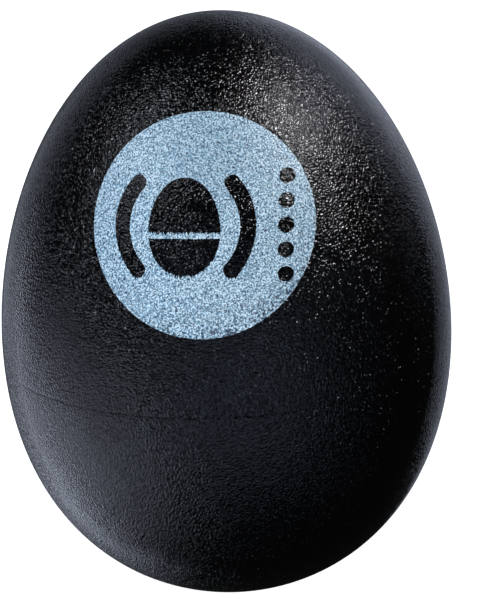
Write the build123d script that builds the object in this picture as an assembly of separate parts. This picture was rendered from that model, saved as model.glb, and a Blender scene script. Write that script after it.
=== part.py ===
from build123d import *
import math
import os

# A hand-held egg shaker: two moulded half shells bonded together just below the waist, a disc of
# ink printed on the front, and a charge of loose steel balls. Millimetres and degrees.
# +Z is up along the egg's axis, the origin is the centre of the flat that the egg stands on, and
# the printed disc faces -Y.

# The egg's outline: an oval turned about its axis, blunt end down
EGG_HEIGHT = 59.0  # pole to pole, before the base flat is taken off
EGG_BREADTH = 44.8  # scale of the radius: the widest circle is 45.0 across
TAPER = 0.0875  # how much narrower the upper end is than the lower one
FULLNESS = 0.0469  # how far both ends are filled out
BASE_FLAT_DEPTH = 0.75  # taken off the blunt end, so that the egg stands up by itself

# The two half shells
WALL = 2.0
SEAM_HEIGHT = 24.0  # above the base flat
SEAM_GROOVE = 0.08  # chamfer on each shell's outer rim, which leaves the hairline seam
TONGUE_HEIGHT = 2.5  # the lower shell's rim that stands up inside the upper shell
TONGUE_SETBACK = 1.0  # from the outer surface at the seam to the tongue
TONGUE_LEAD_IN = 0.3
TONGUE_SIDE_GAP = 0.05
TONGUE_END_GAP = 0.1
GATE_DIAMETER = 2.6  # shallow recess in the base flat, where the moulding gate was cut off
GATE_DEPTH = 0.25

# The printed disc. It is pad printed straight back onto the shell, along one direction.
PRINT_TURN = -7.6  # of the direction that it faces, from -Y, about +Z
PRINT_TILT = 10.0  # of that direction, upwards
PRINT_SHIFT = 0.5  # of the disc's centre, sideways from the egg's axis
PRINT_RISE = 9.9  # of the disc's centre, from mid height
PRINT_DIAMETER = 21.6
INK_THICKNESS = 0.05

# The pictogram left open in the print: a shaker between two sound waves, and a row of dots
ICON_SHIFT = -1.6  # of the shaker, from the disc's centre
ICON_HEIGHT = 9.2
ICON_SEAM_WIDTH = 0.6
ICON_SEAM_DROP = 0.8  # below the shaker's middle
WAVE_RADIUS = 6.1
WAVE_WIDTH = 1.5
WAVE_ANGLE = 84.0
DOT_SHIFT = 8.0
DOT_DIAMETER = 1.5
DOT_PITCH = 2.3
DOT_COUNT = 5

# The steel balls: one settled layer on a hexagonal grid, each clear of its neighbours
BALL_DIAMETER = 4.5
BALL_PITCH = 4.7
BALL_GAP = 0.05  # from a ball to the shell's wall, at both ends of its travel
BALL_RINGS = 3  # round the middle ball

# Accuracy of the curves
CURVE_STEPS = 24
HALVINGS = 60

LOWER_POLE = -math.pi / 2
UPPER_POLE = math.pi / 2
BALL_INSET = WALL + BALL_GAP + BALL_DIAMETER / 2


def outline_direction(angle):
    """How fast the outline's radius and height grow with its angle."""
    s, c = math.sin(angle), math.cos(angle)
    swell = 1 - TAPER * s + FULLNESS * s * s
    radial = EGG_BREADTH / 2 * (c * c * (2 * FULLNESS * s - TAPER) - s * swell)
    return radial, EGG_HEIGHT / 2 * c


def outline_point(angle, inset=0.0):
    """The radius and height of the outline at an angle, moved square to it into the egg."""
    s, c = math.sin(angle), math.cos(angle)
    radius = EGG_BREADTH / 2 * c * (1 - TAPER * s + FULLNESS * s * s)
    height = EGG_HEIGHT / 2 * (1 + s) - BASE_FLAT_DEPTH
    radial, axial = outline_direction(angle)
    length = math.hypot(radial, axial)
    return radius - inset * axial / length, height + inset * radial / length


def solve(value_at, wanted, low=LOWER_POLE, high=UPPER_POLE):
    """The angle between low and high where a value that rises all the way is the one wanted."""
    for _ in range(HALVINGS):
        middle = (low + high) / 2
        if value_at(middle) < wanted:
            low = middle
        else:
            high = middle
    return low


def angle_at_height(height, inset=0.0):
    return solve(lambda angle: outline_point(angle, inset)[1], height)


def radius_at_height(height, inset=0.0):
    return outline_point(angle_at_height(height, inset), inset)[0]


def on_section(radius, height):
    """A point of the half section that is turned about Z."""
    return Vector(radius, 0, height)


def outline_curve(low, high, inset=0.0):
    """The outline between two angles, as one smooth curve on the half section."""
    angles = [low + (high - low) * i / CURVE_STEPS for i in range(CURVE_STEPS + 1)]
    points = [on_section(*outline_point(angle, inset)) for angle in angles]
    ends = [on_section(*outline_direction(angle)) for angle in (low, high)]
    return Spline(*points, tangents=ends)


def turned(*edges):
    """The solid that a closed half section makes when it turns about Z."""
    return revolve(make_face(edges), axis=Axis.Z)


SEAM_RADIUS = radius_at_height(SEAM_HEIGHT)
TONGUE_RADIUS = SEAM_RADIUS - TONGUE_SETBACK
UPPER_RIM_ANGLE = angle_at_height(SEAM_HEIGHT + SEAM_GROOVE)
WAIST = solve(lambda angle: -outline_direction(angle)[0], 0)


def lower_shell():
    """The cup: base flat with its gate recess, wall, and the tongue that fits the upper shell."""
    flat_angle = angle_at_height(0)
    rim_angle = angle_at_height(SEAM_HEIGHT - SEAM_GROOVE)
    tongue_top = SEAM_HEIGHT + TONGUE_HEIGHT
    inner_angle = angle_at_height(tongue_top, WALL)
    floor = outline_point(LOWER_POLE, WALL)
    base = Polyline(
        on_section(*floor),
        on_section(0, GATE_DEPTH),
        on_section(GATE_DIAMETER / 2, GATE_DEPTH),
        on_section(GATE_DIAMETER / 2, 0),
        on_section(*outline_point(flat_angle)),
    )
    rim = Polyline(
        on_section(*outline_point(rim_angle)),
        on_section(SEAM_RADIUS - SEAM_GROOVE, SEAM_HEIGHT),
        on_section(TONGUE_RADIUS, SEAM_HEIGHT),
        on_section(TONGUE_RADIUS, tongue_top - TONGUE_LEAD_IN),
        on_section(TONGUE_RADIUS - TONGUE_LEAD_IN, tongue_top),
        on_section(*outline_point(inner_angle, WALL)),
    )
    outside = outline_curve(flat_angle, rim_angle)
    inside = outline_curve(LOWER_POLE, inner_angle, WALL)
    return turned(base, outside, rim, inside)


def upper_shell():
    """The dome, with the rebate that the lower shell's tongue is bonded into."""
    rebate_radius = TONGUE_RADIUS + TONGUE_SIDE_GAP
    rebate_top = SEAM_HEIGHT + TONGUE_HEIGHT + TONGUE_END_GAP
    inner_angle = angle_at_height(rebate_top, WALL)
    rim = Polyline(
        on_section(*outline_point(inner_angle, WALL)),
        on_section(rebate_radius, rebate_top),
        on_section(rebate_radius, SEAM_HEIGHT),
        on_section(SEAM_RADIUS - SEAM_GROOVE, SEAM_HEIGHT),
        on_section(*outline_point(UPPER_RIM_ANGLE)),
    )
    crown = Line(
        on_section(*outline_point(UPPER_POLE)),
        on_section(*outline_point(UPPER_POLE, WALL)),
    )
    outside = outline_curve(UPPER_RIM_ANGLE, UPPER_POLE)
    inside = outline_curve(inner_angle, UPPER_POLE, WALL)
    return turned(rim, outside, crown, inside)


def shaker_icon():
    """A small solid egg, with its seam left as a gap across it."""
    scale = ICON_HEIGHT / EGG_HEIGHT
    middle = EGG_HEIGHT / 2 - BASE_FLAT_DEPTH
    angles = [LOWER_POLE + math.pi * i / CURVE_STEPS for i in range(CURVE_STEPS + 1)]
    side = [outline_point(angle) for angle in angles]
    right = [(radius * scale, (height - middle) * scale) for radius, height in side]
    left = [(-x, y) for x, y in right]
    outline = [Spline(*right, tangents=[(1, 0), (-1, 0)]), Spline(*left, tangents=[(-1, 0), (1, 0)])]
    seam = Pos(0, -ICON_SEAM_DROP) * Rectangle(ICON_HEIGHT, ICON_SEAM_WIDTH)
    return Pos(ICON_SHIFT, 0) * (make_face(outline) - seam)


def sound_waves():
    """One arc on each side of the shaker, with round ends."""
    arcs = []
    for heading in (0, 180):
        arc = CenterArc((0, 0), WAVE_RADIUS, heading - WAVE_ANGLE / 2, WAVE_ANGLE)
        arcs.append(Pos(ICON_SHIFT, 0) * SlotArc(arc, WAVE_WIDTH))
    return arcs


def dot_row():
    """A column of dots down the right of the disc."""
    top = DOT_PITCH * (DOT_COUNT - 1) / 2
    return [Pos(DOT_SHIFT, top - DOT_PITCH * i) * Circle(DOT_DIAMETER / 2) for i in range(DOT_COUNT)]


def emblem_print():
    """The ink: a thin skin on the upper shell, inside the disc's edge and outside the pictogram."""
    turn, tilt = math.radians(PRINT_TURN), math.radians(PRINT_TILT)
    facing = Vector(
        math.sin(turn) * math.cos(tilt),
        -math.cos(turn) * math.cos(tilt),
        math.sin(tilt),
    )
    sideways = Vector(math.cos(turn), math.sin(turn), 0)
    middle = Vector(0, 0, EGG_HEIGHT / 2 - BASE_FLAT_DEPTH)
    centre = middle + sideways * PRINT_SHIFT + facing.cross(sideways) * PRINT_RISE
    disc = Plane(origin=centre, x_dir=sideways, z_dir=facing)
    skin = turned(
        outline_curve(UPPER_RIM_ANGLE, UPPER_POLE),
        Line(
            on_section(*outline_point(UPPER_POLE)),
            on_section(*outline_point(UPPER_POLE, -INK_THICKNESS)),
        ),
        outline_curve(UPPER_RIM_ANGLE, UPPER_POLE, -INK_THICKNESS),
        Line(
            on_section(*outline_point(UPPER_RIM_ANGLE, -INK_THICKNESS)),
            on_section(*outline_point(UPPER_RIM_ANGLE)),
        ),
    )
    ink = skin & extrude(disc * Circle(PRINT_DIAMETER / 2), EGG_BREADTH)
    for shape in [shaker_icon(), *sound_waves(), *dot_row()]:
        ink -= extrude(disc * shape, EGG_BREADTH)
    return ink


def ball_places():
    """The grid's places, from the middle outwards."""
    reach = range(-BALL_RINGS, BALL_RINGS + 1)
    cells = [(q, r) for q in reach for r in reach if abs(q + r) <= BALL_RINGS]
    places = [(BALL_PITCH * (q + r / 2), BALL_PITCH * r * math.sqrt(3) / 2) for q, r in cells]
    return sorted(places, key=lambda place: (round(math.hypot(*place), 3), math.atan2(place[1], place[0])))


def ball_heights(distance):
    """The lowest and highest centre of a ball that far from the axis."""
    rest = solve(lambda angle: outline_point(angle, BALL_INSET)[0], distance, high=WAIST)
    top = solve(lambda angle: -outline_point(angle, BALL_INSET)[0], -distance, low=WAIST)
    return outline_point(rest, BALL_INSET)[1], outline_point(top, BALL_INSET)[1]


def steel_balls():
    """Every ball at rest on the lower shell."""
    balls = {}
    for number, (x, y) in enumerate(ball_places(), start=1):
        rest = ball_heights(math.hypot(x, y))[0]
        balls[f"steel_ball_{number:02d}"] = Pos(x, y, rest) * Sphere(BALL_DIAMETER / 2)
    return balls


def all_parts():
    """Every sub-part by name."""
    return {
        "lower_shell": lower_shell(),
        "upper_shell": upper_shell(),
        "emblem_print": emblem_print(),
        **steel_balls(),
    }


os.makedirs("parts", exist_ok=True)
for name, shape in all_parts().items():
    export_step(shape, f"parts/{name}.step")
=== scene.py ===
import math

import bmesh
import bpy
from mathutils import Matrix, Vector, noise
from mathutils.geometry import delaunay_2d_cdt


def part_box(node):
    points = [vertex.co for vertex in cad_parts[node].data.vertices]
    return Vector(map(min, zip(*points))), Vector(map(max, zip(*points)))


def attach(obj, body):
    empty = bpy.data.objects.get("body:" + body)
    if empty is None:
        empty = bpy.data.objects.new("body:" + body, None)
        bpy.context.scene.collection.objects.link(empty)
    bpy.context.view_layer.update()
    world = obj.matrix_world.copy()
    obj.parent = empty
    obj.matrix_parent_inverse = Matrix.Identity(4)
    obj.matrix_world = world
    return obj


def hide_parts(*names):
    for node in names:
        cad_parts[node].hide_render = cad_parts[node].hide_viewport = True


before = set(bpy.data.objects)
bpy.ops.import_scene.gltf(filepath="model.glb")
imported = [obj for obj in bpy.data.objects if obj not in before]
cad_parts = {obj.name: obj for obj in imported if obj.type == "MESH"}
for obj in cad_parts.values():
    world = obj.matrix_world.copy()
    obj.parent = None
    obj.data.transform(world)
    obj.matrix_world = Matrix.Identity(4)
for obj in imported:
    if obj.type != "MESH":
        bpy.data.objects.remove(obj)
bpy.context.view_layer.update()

# The looks of a hand-held egg shaker, in metres. The two moulded shells are turned again as clean
# closed meshes with a worn seam, the printed disc is a skin of ink with torn edges, and the steel
# balls inside lie where the CAD model puts them. The front, with the disc, faces -Y.

MM = 0.001

# The egg's outline, which the CAD model shares; the breadth is a hair less, to stay inside it
BASE_FLAT_DEPTH = 0.75 * MM
EGG_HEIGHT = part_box("upper_shell")[1].z + BASE_FLAT_DEPTH
EGG_BREADTH = 44.79 * MM
TAPER = 0.0875
FULLNESS = 0.0469
SEAM_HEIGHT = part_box("upper_shell")[0].z
TONGUE_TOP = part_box("lower_shell")[1].z
TONGUE_SETBACK = 1.0 * MM
TONGUE_LEAD_IN = 0.3 * MM
TONGUE_SIDE_GAP = 0.05 * MM
TONGUE_END_GAP = 0.1 * MM
WALL = 2.0 * MM
GATE_RADIUS = 1.3 * MM
GATE_DEPTH = 0.25 * MM
GATE_CORNER = 0.1 * MM
GATE_EDGE = 0.04 * MM
RIM_MARGIN = 0.3 * MM

# The seam, worn and unevenly bonded round the egg
SEAM_GROOVE = 0.009 * MM
SEAM_UNEVENNESS = 0.006 * MM
SEAM_GROOVE_LEAST = 0.006 * MM
SEAM_WAVES = 14
SEAM_BULGE_OUT = 0.15
SEAM_BULGE_UP = 0.35

# Worn places of the seam: degrees from the front, depth and half width in mm
SEAM_WEAR = (
    (-47, 0.05, 0.7),
    (-28, 0.09, 0.7),
    (-22, 0.02, 2.0),
    (-5, 0.02, 6.0),
    (26, 0.012, 4.0),
    (82, 0.08, 0.6),
    (128, 0.06, 0.8),
    (165, 0.02, 6.0),
    (203, 0.08, 0.6),
)

# The printed disc
PRINT_TURN = math.radians(-7.6)
PRINT_TILT = math.radians(10.0)
PRINT_SHIFT = 0.5 * MM
PRINT_RISE = 9.95 * MM
PRINT_RADIUS = 10.68 * MM
INK_THICKNESS = 0.045 * MM
INK_TEAR = 0.05 * MM
INK_STREAK = 0.5 * MM
TEARS_PER_MM = 3.1
STREAKS_PER_MM = 8.5
STREAK_STRETCH = 0.5
STREAK_SHARE = 0.2
ICON_SHIFT = -1.6 * MM
ICON_HEIGHT = 9.2 * MM
ICON_SEAM_WIDTH = 0.6 * MM
ICON_SEAM_DROP = 0.8 * MM
WAVE_RADIUS = 6.1 * MM
WAVE_WIDTH = 1.5 * MM
WAVE_ANGLE = math.radians(84)
DOT_SHIFT = 8.0 * MM
DOT_RADIUS = 0.75 * MM
DOT_PITCH = 2.3 * MM
DOT_COUNT = 5

# The mould's grain
GRAIN_PITCH = 0.19 * MM
GRIT_PITCH = 0.45 * MM
PLASTIC_GRAIN_DEPTH = 0.061 * MM
INK_GRAIN_DEPTH = 0.035 * MM

# How finely the meshes are cut
SEGMENTS = 360
OUTLINE_STEPS = 90
EDGE_STEP = 0.06 * MM
INK_GRID = 0.45 * MM
BALL_DIVISIONS = 4

# The studio
SOFTBOX_DISTANCE = 0.6
FLOOR_SIZE = 6.0
FLOOR_GAP = 0.05 * MM
DIM = 0.008
HALVINGS = 40

LOWER_POLE = -math.pi / 2
UPPER_POLE = math.pi / 2
MIDDLE = Vector((0, 0, EGG_HEIGHT / 2 - BASE_FLAT_DEPTH))


# ---------------------------------------------------------------- the egg's outline

def outline_direction(angle):
    s, c = math.sin(angle), math.cos(angle)
    swell = 1 - TAPER * s + FULLNESS * s * s
    radial = EGG_BREADTH / 2 * (c * c * (2 * FULLNESS * s - TAPER) - s * swell)
    return radial, EGG_HEIGHT / 2 * c


def outline_point(angle, inset=0.0):
    """The radius and height of the outline at an angle, moved square to it into the egg."""
    s, c = math.sin(angle), math.cos(angle)
    radius = EGG_BREADTH / 2 * c * (1 - TAPER * s + FULLNESS * s * s)
    height = EGG_HEIGHT / 2 * (1 + s) - BASE_FLAT_DEPTH
    radial, axial = outline_direction(angle)
    length = math.hypot(radial, axial)
    return radius - inset * axial / length, height + inset * radial / length


def angle_at_height(height, inset=0.0):
    low, high = LOWER_POLE, UPPER_POLE
    for _ in range(HALVINGS):
        middle = (low + high) / 2
        if outline_point(middle, inset)[1] < height:
            low = middle
        else:
            high = middle
    return low


def outline_stretch(low, high, inset=0.0, steps=OUTLINE_STEPS):
    """Points of the outline from one angle to another, both ends included."""
    return [outline_point(low + (high - low) * i / steps, inset) for i in range(steps + 1)]


def egg_point(azimuth, radius, height):
    """A point round the egg's axis. Azimuth 0 is the front, and it grows towards +X."""
    return radius * math.sin(azimuth), -radius * math.cos(azimuth), height


# ---------------------------------------------------------------- meshes

def new_piece(name, vertices, faces, sharp=math.radians(35)):
    mesh = bpy.data.meshes.new(name)
    mesh.from_pydata(vertices, [], faces)
    mesh.validate()
    mesh.shade_smooth()
    mesh.set_sharp_from_angle(angle=sharp)
    piece = bpy.data.objects.new(name, mesh)
    bpy.context.scene.collection.objects.link(piece)
    return piece


def turned_piece(name, section):
    """A closed solid of revolution. section(azimuth) lists its half section's points from the bottom
    of the axis, up the outside and down the inside, back to the axis; only its rim changes with azimuth."""
    rows = [section(2 * math.pi * k / SEGMENTS) for k in range(SEGMENTS)]
    count = len(rows[0]) - 2
    vertices = [(0, 0, rows[0][0][1]), (0, 0, rows[0][-1][1])]
    for k, row in enumerate(rows):
        vertices += [egg_point(2 * math.pi * k / SEGMENTS, *point) for point in row[1:-1]]
    faces = []
    for k in range(SEGMENTS):
        here = 2 + k * count
        there = 2 + (k + 1) % SEGMENTS * count
        faces.append((0, there, here))
        faces += [(here + i, there + i, there + i + 1, here + i + 1) for i in range(count - 1)]
        faces.append((1, here + count - 1, there + count - 1))
    return new_piece(name, vertices, faces)


def seam_groove(azimuth):
    """How deep the seam's edges are rounded off at an azimuth: unevenly, with a few nicks."""
    place = Vector(egg_point(azimuth, 1.0, 0.0))
    depth = SEAM_GROOVE + SEAM_UNEVENNESS * noise.fractal(place * SEAM_WAVES, 1.0, 2.0, 3)
    for degrees, wear, width in SEAM_WEAR:
        turn = (azimuth - math.radians(degrees) + math.pi) % (2 * math.pi) - math.pi
        depth += wear * MM * math.exp(-(turn * EGG_BREADTH / 2 / (width * MM)) ** 2)
    return max(depth, SEAM_GROOVE_LEAST)


# ---------------------------------------------------------------- the shells

SEAM_RADIUS = outline_point(angle_at_height(SEAM_HEIGHT))[0]
TONGUE_RADIUS = SEAM_RADIUS - TONGUE_SETBACK


def rounded_radius(edge, groove):
    """The radius halfway round a seam edge, a little outside the straight chamfer."""
    return (edge[0] + SEAM_RADIUS - groove) / 2 + SEAM_BULGE_OUT * groove


def lower_section(azimuth):
    groove = seam_groove(azimuth)
    edge = outline_point(angle_at_height(SEAM_HEIGHT - groove))
    inner_angle = angle_at_height(TONGUE_TOP, WALL)
    return [
        (0, GATE_DEPTH),
        (GATE_RADIUS - GATE_CORNER, GATE_DEPTH),
        (GATE_RADIUS, GATE_DEPTH - GATE_CORNER),
        (GATE_RADIUS, GATE_EDGE),
        (GATE_RADIUS + GATE_EDGE, 0),
        *outline_stretch(angle_at_height(0), angle_at_height(SEAM_HEIGHT - RIM_MARGIN)),
        edge,
        (rounded_radius(edge, groove), SEAM_HEIGHT - SEAM_BULGE_UP * groove),
        (SEAM_RADIUS - groove, SEAM_HEIGHT),
        (TONGUE_RADIUS, SEAM_HEIGHT),
        (TONGUE_RADIUS, TONGUE_TOP - TONGUE_LEAD_IN),
        (TONGUE_RADIUS - TONGUE_LEAD_IN, TONGUE_TOP),
        *outline_stretch(inner_angle, LOWER_POLE, WALL),
    ]


def upper_section(azimuth):
    groove = seam_groove(azimuth)
    edge = outline_point(angle_at_height(SEAM_HEIGHT + groove))
    rebate_top = TONGUE_TOP + TONGUE_END_GAP
    rebate_radius = TONGUE_RADIUS + TONGUE_SIDE_GAP
    inner_angle = angle_at_height(rebate_top, WALL)
    inside = outline_stretch(inner_angle, UPPER_POLE, WALL)
    outside = [
        (rebate_radius, rebate_top),
        (rebate_radius, SEAM_HEIGHT),
        (SEAM_RADIUS - groove, SEAM_HEIGHT),
        (rounded_radius(edge, groove), SEAM_HEIGHT + SEAM_BULGE_UP * groove),
        edge,
        *outline_stretch(angle_at_height(SEAM_HEIGHT + RIM_MARGIN), UPPER_POLE),
    ]
    return inside[::-1] + outside


# ---------------------------------------------------------------- the printed disc

def ring(centre, radius, low=0.0, high=2 * math.pi):
    """Points along an arc, an edge step apart, without its last one."""
    count = max(6, round(abs(high - low) * radius / EDGE_STEP))
    angles = [low + (high - low) * i / count for i in range(count)]
    return [(centre[0] + radius * math.cos(a), centre[1] + radius * math.sin(a)) for a in angles]


def straight(start, end):
    """Points along a line, an edge step apart, without its last one."""
    count = max(1, round(math.dist(start, end) / EDGE_STEP))
    return [tuple(a + (b - a) * i / count for a, b in zip(start, end)) for i in range(count)]


def wave_outline(side):
    """One sound wave: an arc with round ends, on one side of the shaker."""
    centre = (ICON_SHIFT, 0)
    middle = 0 if side > 0 else math.pi
    low, high = middle - WAVE_ANGLE / 2, middle + WAVE_ANGLE / 2
    half = WAVE_WIDTH / 2
    ends = [(centre[0] + WAVE_RADIUS * math.cos(a), WAVE_RADIUS * math.sin(a)) for a in (low, high)]
    return [
        *ring(centre, WAVE_RADIUS + half, low, high),
        *ring(ends[1], half, high, high + math.pi),
        *ring(centre, WAVE_RADIUS - half, high, low),
        *ring(ends[0], half, low + math.pi, low + 2 * math.pi),
    ]


def icon_outlines():
    """The small shaker's two halves, above and below its own seam."""
    scale = ICON_HEIGHT / EGG_HEIGHT
    halves = []
    for side in (-1, 1):
        cut = -ICON_SEAM_DROP + side * ICON_SEAM_WIDTH / 2
        pole = side * math.pi / 2
        cut_angle = angle_at_height(cut / scale + MIDDLE.z)
        steps = round(ICON_HEIGHT / EDGE_STEP)
        edge = [
            (radius * scale, (height - MIDDLE.z) * scale)
            for radius, height in outline_stretch(cut_angle, pole, steps=steps)
        ]
        right = [(ICON_SHIFT + x, y) for x, y in edge[:-1]]
        left = [(ICON_SHIFT - x, y) for x, y in reversed(edge[1:])]
        half = right + left + straight(left[-1], right[0])
        halves.append(half if side > 0 else half[::-1])
    return halves


def torn(outline, amount, streaks):
    """An anticlockwise outline with the fine tears of ink on a grained surface, and short streaks
    below the edges that face down, where the pad dragged the ink."""
    moved = []
    for i, point in enumerate(outline):
        before, after = Vector(outline[i - 1]), Vector(outline[(i + 1) % len(outline)])
        along = (after - before).normalized()
        across = Vector((along.y, -along.x))
        place = Vector((point[0], point[1], 0)) / MM
        tear = amount * noise.noise(place * TEARS_PER_MM)
        comb = noise.noise(Vector((place.x * STREAKS_PER_MM, place.y * STREAK_STRETCH, 3)))
        drag = streaks * max(0.0, along.x) ** 2 * max(0.0, comb + STREAK_SHARE)
        moved.append((point[0] + across.x * tear, point[1] + across.y * tear - drag))
    return moved


def print_basis():
    """The direction that the print faces, and its sideways and upward directions."""
    facing = Vector((
        math.sin(PRINT_TURN) * math.cos(PRINT_TILT),
        -math.cos(PRINT_TURN) * math.cos(PRINT_TILT),
        math.sin(PRINT_TILT),
    ))
    sideways = Vector((math.cos(PRINT_TURN), math.sin(PRINT_TURN), 0))
    return facing, sideways, facing.cross(sideways)


def surface_radius(height):
    s = max(-1.0, min(1.0, 2 * (height + BASE_FLAT_DEPTH) / EGG_HEIGHT - 1))
    return EGG_BREADTH / 2 * math.sqrt(1 - s * s) * (1 - TAPER * s + FULLNESS * s * s)


def surface_normal(place):
    """The egg's outward direction at a point of its surface."""
    s = 2 * (place.z + BASE_FLAT_DEPTH) / EGG_HEIGHT - 1
    radial, axial = outline_direction(math.asin(s))
    out = Vector((place.x, place.y, 0)).normalized() * axial
    return (out - Vector((0, 0, radial))).normalized()


def laid_on_egg(x, y):
    """Where a point of the flat artwork lands on the egg, printed straight back onto it."""
    facing, sideways, upward = print_basis()
    start = MIDDLE + sideways * (PRINT_SHIFT + x) + upward * (PRINT_RISE + y)
    low, high = 0.0, EGG_BREADTH
    for _ in range(HALVINGS):
        middle = (low + high) / 2
        place = start + facing * middle
        if math.hypot(place.x, place.y) < surface_radius(place.z):
            low = middle
        else:
            high = middle
    return start + facing * low


def ink_artwork():
    """The inked area: the disc's outline first, then the outlines left open in it."""
    dots = [
        ring((DOT_SHIFT, DOT_PITCH * (i - (DOT_COUNT - 1) / 2)), DOT_RADIUS)
        for i in range(DOT_COUNT)
    ]
    icon = [*icon_outlines(), wave_outline(-1), wave_outline(1)]
    crisp = [ring((0, 0), PRINT_RADIUS), *dots]
    artwork = [torn(outline, INK_TEAR, 0) for outline in crisp]
    return artwork + [torn(outline, INK_TEAR, INK_STREAK) for outline in icon]


def ink_triangles(outlines):
    """The inked area as triangles, with inner points on an even grid."""
    points, edges = [], []
    for outline in outlines:
        first = len(points)
        points += outline
        edges += [(first + i, first + (i + 1) % len(outline)) for i in range(len(outline))]
    reach = int(PRINT_RADIUS / INK_GRID)
    for i in range(-reach, reach + 1):
        for j in range(-reach, reach + 1):
            place = (i * INK_GRID + (j % 2) * INK_GRID / 2, j * INK_GRID)
            if math.hypot(*place) < PRINT_RADIUS - INK_GRID:
                points.append(place)
    found = delaunay_2d_cdt([Vector(p) for p in points], edges, [], 0, 1e-7)
    return found[0], found[2]


def inside(outline, place):
    """True if a place lies inside a closed outline."""
    crossings = 0
    for (ax, ay), (bx, by) in zip(outline, outline[1:] + outline[:1]):
        if (ay > place[1]) != (by > place[1]):
            crossings += place[0] < ax + (place[1] - ay) / (by - ay) * (bx - ax)
    return crossings % 2 == 1


def make_print():
    outlines = ink_artwork()
    flat_points, triangles = ink_triangles(outlines)
    boxes = [[(min(c), max(c)) for c in zip(*outline)] for outline in outlines]

    def inked(triangle):
        x = sum(flat_points[i].x for i in triangle) / 3
        y = sum(flat_points[i].y for i in triangle) / 3
        if not inside(outlines[0], (x, y)):
            return False
        return not any(
            left < x < right and low < y < high and inside(outline, (x, y))
            for outline, ((left, right), (low, high)) in zip(outlines[1:], boxes[1:])
        )

    kept = [t for t in triangles if inked(t)]
    used = sorted({i for t in kept for i in t})
    number = {old: new for new, old in enumerate(used)}
    kept = [tuple(number[i] for i in t) for t in kept]
    laid = [laid_on_egg(*flat_points[i]) for i in used]
    top = [place + surface_normal(place) * INK_THICKNESS for place in laid]
    count = len(laid)
    sides = {}
    for a, b, c in kept:
        for edge in ((a, b), (b, c), (c, a)):
            sides[edge] = sides.get(edge[::-1]) is None
            if not sides[edge]:
                sides[edge[::-1]] = False
    walls = [(b, a, a + count, b + count) for (a, b), single in sides.items() if single]
    bottoms = [(c + count, b + count, a + count) for a, b, c in kept]
    return new_piece("printed_disc", [tuple(v) for v in top + laid], kept + walls + bottoms)


# ---------------------------------------------------------------- materials

def new_material(name):
    material = bpy.data.materials.new(name)
    material.use_nodes = True
    tree = material.node_tree
    return material, tree, tree.nodes["Principled BSDF"]


def node(tree, kind, inputs=None, **settings):
    """A new node, with its settings and its inputs: a socket is linked, anything else is a value."""
    made = tree.nodes.new(kind)
    for key, value in settings.items():
        setattr(made, key, value)
    for key, value in (inputs or {}).items():
        if isinstance(value, bpy.types.NodeSocket):
            tree.links.new(value, made.inputs[key])
        else:
            made.inputs[key].default_value = value
    return made


def maths(tree, operation, first, second=0.0):
    return node(tree, "ShaderNodeMath", {0: first, 1: second}, operation=operation).outputs[0]


def spread(tree, value, low, high, to_low=0.0, to_high=1.0, smooth=False):
    """A value mapped from one range to another, and held at its ends."""
    kind = "SMOOTHSTEP" if smooth else "LINEAR"
    inputs = {"Value": value, "From Min": low, "From Max": high, "To Min": to_low, "To Max": to_high}
    return node(tree, "ShaderNodeMapRange", inputs, interpolation_type=kind).outputs["Result"]


def place_on_piece(tree):
    return node(tree, "ShaderNodeTexCoord").outputs["Object"]


def noise_value(tree, place, size, detail=2.0, distortion=0.0):
    """Noise whose patches are about size metres across."""
    inputs = {"Vector": place, "Scale": 1 / size, "Detail": detail, "Distortion": distortion}
    return node(tree, "ShaderNodeTexNoise", inputs).outputs["Fac"]


def distance_to(tree, place, spot):
    """How far a place is from one spot."""
    return node(tree, "ShaderNodeVectorMath", {0: place, 1: spot}, operation="DISTANCE").outputs["Value"]


def mixed(tree, share, first, second):
    """Two colours, mixed by a share."""
    mix = node(tree, "ShaderNodeMix", data_type="RGBA")
    for index, value in ((0, share), (6, first), (7, second)):
        if isinstance(value, bpy.types.NodeSocket):
            tree.links.new(value, mix.inputs[index])
        else:
            mix.inputs[index].default_value = value
    return mix.outputs[2]


def leather_grain(tree, place):
    """The mould's fine leather grain, from 0 in its valleys to 1 on its tops, with sharp grit on it."""
    worms = noise_value(tree, place, GRAIN_PITCH, detail=0.0, distortion=0.2)
    cells = node(tree, "ShaderNodeTexVoronoi", {"Vector": place, "Scale": 1 / GRIT_PITCH})
    grit = spread(tree, cells.outputs["Distance"], 0.0, 0.24, 1.3, 0.0, smooth=True)
    return maths(tree, "ADD", spread(tree, worms, 0.22, 0.78), grit)


def shell_plastic():
    material, tree, shader = new_material("shell_plastic")
    place = place_on_piece(tree)
    grain = leather_grain(tree, place)
    clouds = noise_value(tree, place, 6 * MM, detail=3.0)
    colour = mixed(tree, clouds, (0.0005, 0.0006, 0.0009, 1), (0.0010, 0.0011, 0.0015, 1))
    cloudy = spread(tree, clouds, 0.3, 0.7, 0.12, 0.17)
    tree.links.new(colour, shader.inputs["Base Color"])
    tree.links.new(cloudy, shader.inputs["Roughness"])
    bump = node(tree, "ShaderNodeBump", {"Height": grain, "Distance": PLASTIC_GRAIN_DEPTH, "Strength": 1.0})
    tree.links.new(bump.outputs["Normal"], shader.inputs["Normal"])
    return material


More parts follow.
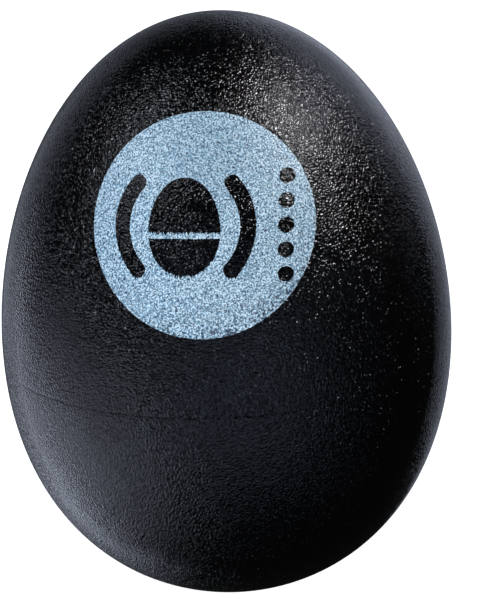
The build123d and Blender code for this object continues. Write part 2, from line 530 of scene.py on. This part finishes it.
def print_ink():
    """Light blue ink, with pale specks that are painted highlights, dark specks in the grain's valleys that
    are partly uninked and partly painted shade, darker near the disc's top, and missing in larger specks
    towards its lower right edge."""
    material, tree, shader = new_material("print_ink")
    place = place_on_piece(tree)
    grain = leather_grain(tree, place)
    body = mixed(tree, noise_value(tree, place, 2.6 * MM), (0.14, 0.29, 0.42, 1), (0.17, 0.33, 0.46, 1))
    # Pale, nearly white specks: painted highlights that stand in for lit tops of the grain.
    painted_highlights = spread(tree, noise_value(tree, place, 0.15 * MM, detail=0.0), 0.42, 0.60)
    shade = mixed(tree, painted_highlights, body, (0.64, 0.84, 0.97, 1))
    # Darker towards the disc's top.
    top_distance = distance_to(tree, place, laid_on_egg(0.6 * MM, 6.5 * MM))
    darker_top = spread(tree, top_distance, 1.5 * MM, 7.0 * MM, 0.2, 0.0, smooth=True)
    shade = mixed(tree, darker_top, shade, (0.10, 0.23, 0.35, 1))
    # Dark specks in the grain's valleys: partly uninked spots and partly painted shade of the valleys. The
    # larger worn specks near the lower right edge are uninked.
    gaps = spread(tree, noise_value(tree, place, 0.17 * MM, detail=0.0), 0.38, 0.44, 1.0, 0.0)
    valleys = spread(tree, grain, 0.2, 0.75, 0.95, 0.35, smooth=True)
    sound_place = distance_to(tree, place, laid_on_egg(-1.0 * MM, 3.0 * MM))
    worn = spread(tree, sound_place, 11.0 * MM, 13.0 * MM)
    holes = spread(tree, noise_value(tree, place, 0.3 * MM, detail=0.0), 0.36, 0.41, 0.9, 0.0)
    specks = maths(tree, "MULTIPLY", gaps, valleys)
    uninked_and_painted_shade = maths(tree, "MAXIMUM", specks, maths(tree, "MULTIPLY", worn, holes))
    colour = mixed(tree, uninked_and_painted_shade, shade, (0.008, 0.03, 0.07, 1))
    tree.links.new(colour, shader.inputs["Base Color"])
    shader.inputs["Roughness"].default_value = 0.4
    bump = node(tree, "ShaderNodeBump", {"Height": grain, "Distance": INK_GRAIN_DEPTH, "Strength": 1.0})
    tree.links.new(bump.outputs["Normal"], shader.inputs["Normal"])
    return material


def ball_steel():
    material, tree, shader = new_material("ball_steel")
    place = place_on_piece(tree)
    smudges = noise_value(tree, place, 1.6 * MM, detail=3.0)
    scratches = noise_value(tree, place, 0.12 * MM, detail=2.0, distortion=2.0)
    colour = mixed(tree, smudges, (0.46, 0.46, 0.47, 1), (0.66, 0.65, 0.64, 1))
    tree.links.new(colour, shader.inputs["Base Color"])
    tree.links.new(spread(tree, smudges, 0.3, 0.7, 0.16, 0.34), shader.inputs["Roughness"])
    shader.inputs["Metallic"].default_value = 1.0
    bump = node(tree, "ShaderNodeBump", {"Height": scratches, "Distance": 0.002 * MM, "Strength": 1.0})
    tree.links.new(bump.outputs["Normal"], shader.inputs["Normal"])
    return material


def floor_white():
    material, tree, shader = new_material("floor_white")
    shader.inputs["Base Color"].default_value = (0.9, 0.9, 0.9, 1)
    shader.inputs["Roughness"].default_value = 0.9
    shader.inputs["Emission Color"].default_value = (1, 1, 1, 1)
    shader.inputs["Emission Strength"].default_value = 1.0
    return material


# ---------------------------------------------------------------- pieces

def finish_piece(piece, material, node_name, body="shell"):
    """Gives a piece its material and its body, and hides the CAD node that it stands for."""
    piece.data.materials.append(material)
    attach(piece, body)
    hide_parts(node_name)


def make_shells():
    plastic = shell_plastic()
    lower = turned_piece("lower_shell_moulding", lower_section)
    upper = turned_piece("upper_shell_moulding", upper_section)
    finish_piece(lower, plastic, "lower_shell")
    finish_piece(upper, plastic, "upper_shell")


def ball_mesh(name, centre, radius):
    """A closed ball of even triangles."""
    shape = bmesh.new()
    place = Matrix.Translation(centre)
    bmesh.ops.create_icosphere(shape, subdivisions=BALL_DIVISIONS, radius=radius, matrix=place)
    vertices = [tuple(v.co) for v in shape.verts]
    faces = [tuple(v.index for v in face.verts) for face in shape.faces]
    shape.free()
    return new_piece(name, vertices, faces)


def make_balls():
    steel = ball_steel()
    names = sorted(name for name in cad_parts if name.startswith("steel_ball"))
    for name in names:
        low, high = (Vector(corner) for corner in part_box(name))
        ball = ball_mesh(name + "_shot", (low + high) / 2, (high.z - low.z) / 2)
        finish_piece(ball, steel, name, name)


# ---------------------------------------------------------------- studio

def direction_to(azimuth, elevation):
    """A direction from the egg, in degrees: azimuth 0 is the front and 90 is +X."""
    a, e = math.radians(azimuth), math.radians(elevation)
    return Vector((math.sin(a) * math.cos(e), -math.cos(a) * math.cos(e), math.sin(e)))


def softbox(name, azimuth, elevation, width, height, brightness, colour=(1, 1, 1)):
    """A soft rectangular light that faces the egg. A brightness of 1 is a fully lit white card."""
    light = bpy.data.lights.new(name, "AREA")
    light.shape = "RECTANGLE"
    light.size, light.size_y = width, height
    light.energy = brightness * width * height * math.pi
    light.color = colour
    lamp = bpy.data.objects.new(name, light)
    away = direction_to(azimuth, elevation)
    lamp.location = MIDDLE + away * SOFTBOX_DISTANCE
    lamp.rotation_euler = away.to_track_quat("Z", "Y").to_euler()
    lamp.visible_camera = False
    bpy.context.scene.collection.objects.link(lamp)
    return lamp


def make_lights():
    """Softboxes: azimuth, elevation, width, height, brightness and colour. The key gives reflections
    only, and the front fill lights only diffuse surfaces, which here means the ink."""
    cool = (0.74, 0.81, 1.0)
    key = softbox("key", 75, 50, 0.19, 0.19, 36.0, (0.95, 0.96, 1.0))
    key.visible_diffuse = False
    softbox("fill_left", -66, 44, 0.18, 0.16, 14.0, (0.82, 0.88, 1.0))
    softbox("card_left", -78, -28, 0.65, 0.32, 1.5, cool)
    softbox("card_low_left", -78, -52, 0.45, 0.22, 1.1, cool)
    softbox("card_back_left", -130, -25, 0.5, 0.30, 1.1, cool)
    softbox("edge_low_left", -146, -40, 0.30, 0.20, 1.0, cool)
    softbox("edge_top_left", -154, -2, 0.26, 0.34, 0.4, cool)
    softbox("edge_top", 182, 6, 0.22, 0.26, 0.25, cool)
    softbox("card_back_right", 158, 10, 0.40, 0.35, 0.55, cool)
    softbox("edge_right", 162, -13, 0.20, 0.28, 0.5, cool)
    softbox("back_top", 135, 30, 0.25, 0.25, 1.0, cool)
    softbox("front_low", 5, -18, 0.9, 0.40, 0.7, (0.63, 0.75, 1.0))
    front = softbox("front_fill", 6, 15, 0.8, 0.8, 1.9)
    front.visible_glossy = False


def make_floor():
    half = FLOOR_SIZE / 2
    corners = [(-half, -half, 0), (half, -half, 0), (half, half, 0), (-half, half, 0)]
    floor = new_piece("floor", corners, [(0, 1, 2, 3)])
    floor.location.z = -FLOOR_GAP
    floor.data.materials.append(floor_white())
    floor.visible_glossy = False
    floor.visible_diffuse = False
    floor.visible_shadow = False


def make_world():
    """White to the camera, and dim in reflections, so that the softboxes alone shape the egg."""
    world = bpy.data.worlds.new("studio")
    world.use_nodes = True
    tree = world.node_tree
    seen = node(tree, "ShaderNodeLightPath").outputs["Is Camera Ray"]
    colour = mixed(tree, seen, (DIM, DIM, DIM, 1), (1, 1, 1, 1))
    tree.links.new(colour, tree.nodes["Background"].inputs["Color"])
    bpy.context.scene.world = world
    bpy.context.scene.view_settings.view_transform = "Standard"


def make_camera():
    """A long lens, half a metre from the egg's middle, looking down a little and held a little askew."""
    elevation, roll, distance = math.radians(17.26), math.radians(2.11), 0.5
    aside, above = 1.44 * MM, 0.16 * MM
    back = Vector((0, -math.cos(elevation), math.sin(elevation)))
    level_up = Vector((0, math.sin(elevation), math.cos(elevation)))
    right = Vector((math.cos(roll), 0, 0)) - level_up * math.sin(roll)
    up = Vector((math.sin(roll), 0, 0)) + level_up * math.cos(roll)
    camera = bpy.data.objects.new("camera", bpy.data.cameras.new("camera"))
    camera.data.sensor_width = 36.0
    camera.data.lens = 300.3
    camera.data.clip_start = 0.05
    place = MIDDLE + back * distance + right * aside + up * above
    camera.matrix_world = Matrix.Translation(place) @ Matrix((right, up, back)).transposed().to_4x4()
    bpy.context.scene.collection.objects.link(camera)
    bpy.context.scene.camera = camera


make_camera()
make_shells()
finish_piece(make_print(), print_ink(), "emblem_print")
make_balls()
make_lights()
make_floor()
make_world()

bpy.context.view_layer.update()
